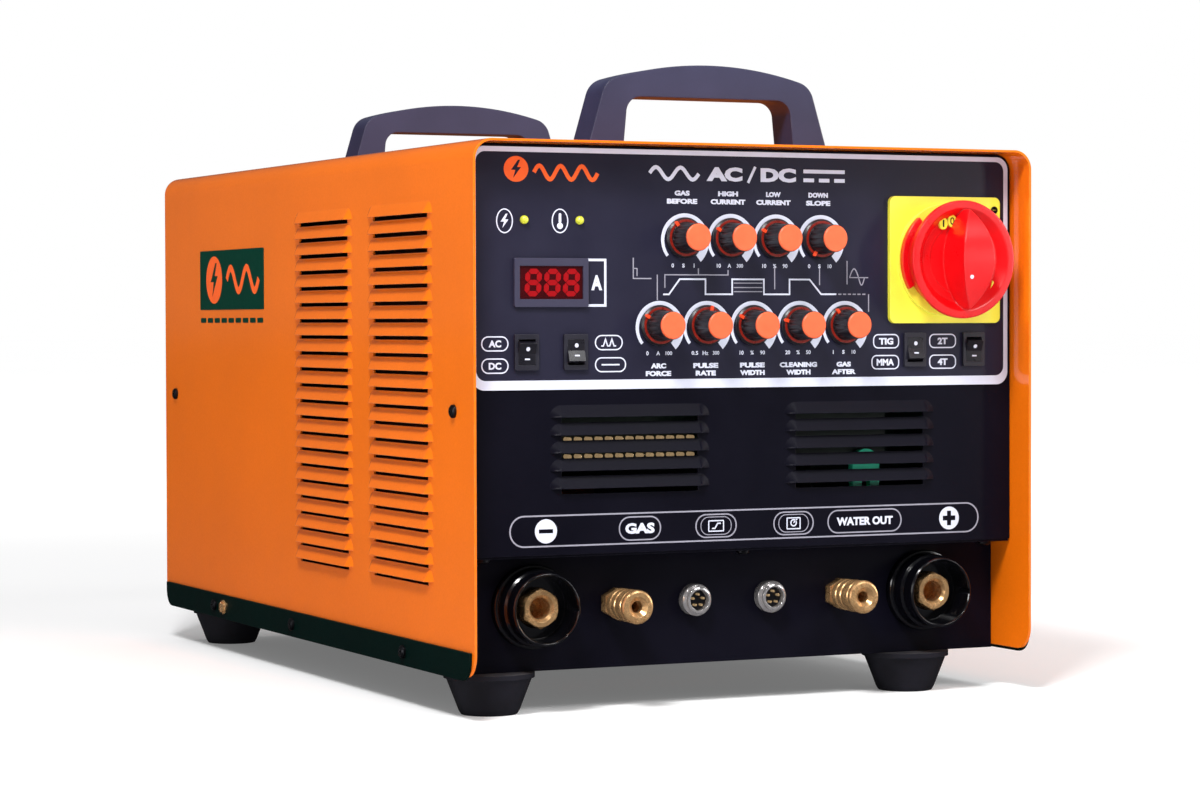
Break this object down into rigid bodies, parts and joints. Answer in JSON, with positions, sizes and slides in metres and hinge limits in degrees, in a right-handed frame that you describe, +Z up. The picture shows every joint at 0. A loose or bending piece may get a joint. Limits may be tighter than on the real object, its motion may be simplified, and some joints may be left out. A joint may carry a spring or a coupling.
{
  "type": "tig welding machine",
  "caption": "Box-shaped TIG welding power source with a wrapped sheet-metal cover, carrying handles, side louvres, a knob control panel and recessed weld connectors.",
  "frame": {"origin": "on the ground under the middle of the case", "axes": "+Z up, the control panel faces -Y, +X to the right seen from the front"},
  "size_m": [0.388, 0.632, 0.3934],
  "materials": {
    "orange_enamel": "glossy powder coat",
    "tray_enamel": "satin powder coat",
    "black_enamel": "gloss powder coat",
    "overlay_film": "gloss printed film",
    "handle_plastic": "fine grained",
    "zinc_steel": "zinc plated",
    "black_screw": "black oxide",
    "brass": "machined",
    "foot_rubber": "matte",
    "bezel_plastic": "fine grained",
    "display_plastic": "gloss filter",
    "led_plastic": "diffused",
    "rocker_plastic": "gloss",
    "knob_plastic": "satin",
    "cap_plastic": "satin",
    "yellow_plastic": "gloss",
    "red_plastic": "gloss",
    "switch_plastic": "moulded",
    "socket_plastic": "moulded",
    "chrome": "plated",
    "gold_contacts": "plated",
    "fan_plastic": "moulded",
    "cable_rubber": "matte",
    "dark_board": "solder mask",
    "green_board": "solder mask",
    "transformer_core": "varnished"
  },
  "bodies": {
    "case": {"cover_shell": "orange_enamel", "base_tray": "tray_enamel", "front_panel": "black_enamel", "connector_panel": "black_enamel", "rear_panel": "black_enamel", "control_overlay": "overlay_film", "front_handle": "handle_plastic", "rear_handle": "handle_plastic", "handle_bolts": "zinc_steel", "case_screws": "black_screw", "earth_screw": "brass", "rubber_feet": "foot_rubber", "meter_bezel": "bezel_plastic", "meter_display": "display_plastic", "indicator_leds": "led_plastic", "rocker_frames": "bezel_plastic", "potentiometers": "zinc_steel", "isolator_plate": "yellow_plastic", "isolator_switch": "switch_plastic", "socket_shells": "socket_plastic", "socket_contacts": "brass", "outlet_fittings": "brass", "control_socket_shells": "chrome", "control_socket_inserts": "socket_plastic", "control_socket_pins": "gold_contacts", "fan_frame": "fan_plastic", "fan_guard": "chrome", "mains_gland": "socket_plastic", "mains_cable": "cable_rubber", "inlet_fittings": "brass", "control_board": "dark_board", "terminal_pins": "gold_contacts", "power_board": "green_board", "main_transformer": "transformer_core"},
    "pre_flow_control": {"pre_flow_knob": "knob_plastic", "pre_flow_cap": "cap_plastic"},
    "peak_current_control": {"peak_current_knob": "knob_plastic", "peak_current_cap": "cap_plastic"},
    "base_current_control": {"base_current_knob": "knob_plastic", "base_current_cap": "cap_plastic"},
    "down_slope_control": {"down_slope_knob": "knob_plastic", "down_slope_cap": "cap_plastic"},
    "arc_force_control": {"arc_force_knob": "knob_plastic", "arc_force_cap": "cap_plastic"},
    "pulse_frequency_control": {"pulse_frequency_knob": "knob_plastic", "pulse_frequency_cap": "cap_plastic"},
    "pulse_width_control": {"pulse_width_knob": "knob_plastic", "pulse_width_cap": "cap_plastic"},
    "cleaning_width_control": {"cleaning_width_knob": "knob_plastic", "cleaning_width_cap": "cap_plastic"},
    "post_flow_control": {"post_flow_knob": "knob_plastic", "post_flow_cap": "cap_plastic"},
    "polarity_switch": {"polarity_rocker": "rocker_plastic"},
    "pulse_switch": {"pulse_rocker": "rocker_plastic"},
    "process_switch": {"process_rocker": "rocker_plastic"},
    "trigger_switch": {"trigger_rocker": "rocker_plastic"},
    "isolator": {"isolator_handle": "red_plastic"},
    "gas_sleeve": {"gas_outlet_sleeve": "brass"},
    "water_sleeve": {"water_outlet_sleeve": "brass"},
    "fan": {"fan_rotor": "fan_plastic"}
  },
  "joints": [
    {"name": "pre_flow_turn", "type": "hinge", "parent": "case", "child": "pre_flow_control", "pos_m": [-0.0431, -0.2735, 0.2848], "axis": [0, 1, 0], "range_deg": [-113, 187]},
    {"name": "peak_current_turn", "type": "hinge", "parent": "case", "child": "peak_current_control", "pos_m": [-0.0119, -0.2735, 0.2848], "axis": [0, 1, 0], "range_deg": [-90, 210]},
    {"name": "base_current_turn", "type": "hinge", "parent": "case", "child": "base_current_control", "pos_m": [0.0193, -0.2735, 0.2848], "axis": [0, 1, 0], "range_deg": [-87, 213]},
    {"name": "down_slope_turn", "type": "hinge", "parent": "case", "child": "down_slope_control", "pos_m": [0.0505, -0.2735, 0.2848], "axis": [0, 1, 0], "range_deg": [0, 300]},
    {"name": "arc_force_turn", "type": "hinge", "parent": "case", "child": "arc_force_control", "pos_m": [-0.0602, -0.2735, 0.232], "axis": [0, 1, 0], "range_deg": [-92, 208]},
    {"name": "pulse_frequency_turn", "type": "hinge", "parent": "case", "child": "pulse_frequency_control", "pos_m": [-0.0283, -0.2735, 0.232], "axis": [0, 1, 0], "range_deg": [-163, 137]},
    {"name": "pulse_width_turn", "type": "hinge", "parent": "case", "child": "pulse_width_control", "pos_m": [0.0036, -0.2735, 0.232], "axis": [0, 1, 0], "range_deg": [-90, 210]},
    {"name": "cleaning_width_turn", "type": "hinge", "parent": "case", "child": "cleaning_width_control", "pos_m": [0.0355, -0.2735, 0.232], "axis": [0, 1, 0], "range_deg": [-76, 224]},
    {"name": "post_flow_turn", "type": "hinge", "parent": "case", "child": "post_flow_control", "pos_m": [0.0674, -0.2735, 0.232], "axis": [0, 1, 0], "range_deg": [-115, 185]},
    {"name": "polarity_tilt", "type": "hinge", "parent": "case", "child": "polarity_switch", "pos_m": [-0.1476, -0.2695, 0.2164], "axis": [1, 0, 0], "range_deg": [-20, 0]},
    {"name": "pulse_tilt", "type": "hinge", "parent": "case", "child": "pulse_switch", "pos_m": [-0.1157, -0.2695, 0.2164], "axis": [1, 0, 0], "range_deg": [0, 20]},
    {"name": "process_tilt", "type": "hinge", "parent": "case", "child": "process_switch", "pos_m": [0.1174, -0.2695, 0.2164], "axis": [1, 0, 0], "range_deg": [0, 20]},
    {"name": "trigger_tilt", "type": "hinge", "parent": "case", "child": "trigger_switch", "pos_m": [0.1602, -0.2695, 0.2164], "axis": [1, 0, 0], "range_deg": [-20, 0]},
    {"name": "isolator_turn", "type": "hinge", "parent": "case", "child": "isolator", "pos_m": [0.1386, -0.28, 0.2724], "axis": [0, 1, 0], "range_deg": [-90, 0]},
    {"name": "gas_sleeve_slide", "type": "slide", "parent": "case", "child": "gas_sleeve", "axis": [0, 1, 0], "range_m": [0, 0.003]},
    {"name": "water_sleeve_slide", "type": "slide", "parent": "case", "child": "water_sleeve", "axis": [0, 1, 0], "range_m": [0, 0.003]},
    {"name": "fan_spin", "type": "hinge", "parent": "case", "child": "fan", "pos_m": [0, 0.245, 0.215], "axis": [0, 1, 0], "continuous": true}
  ]
}
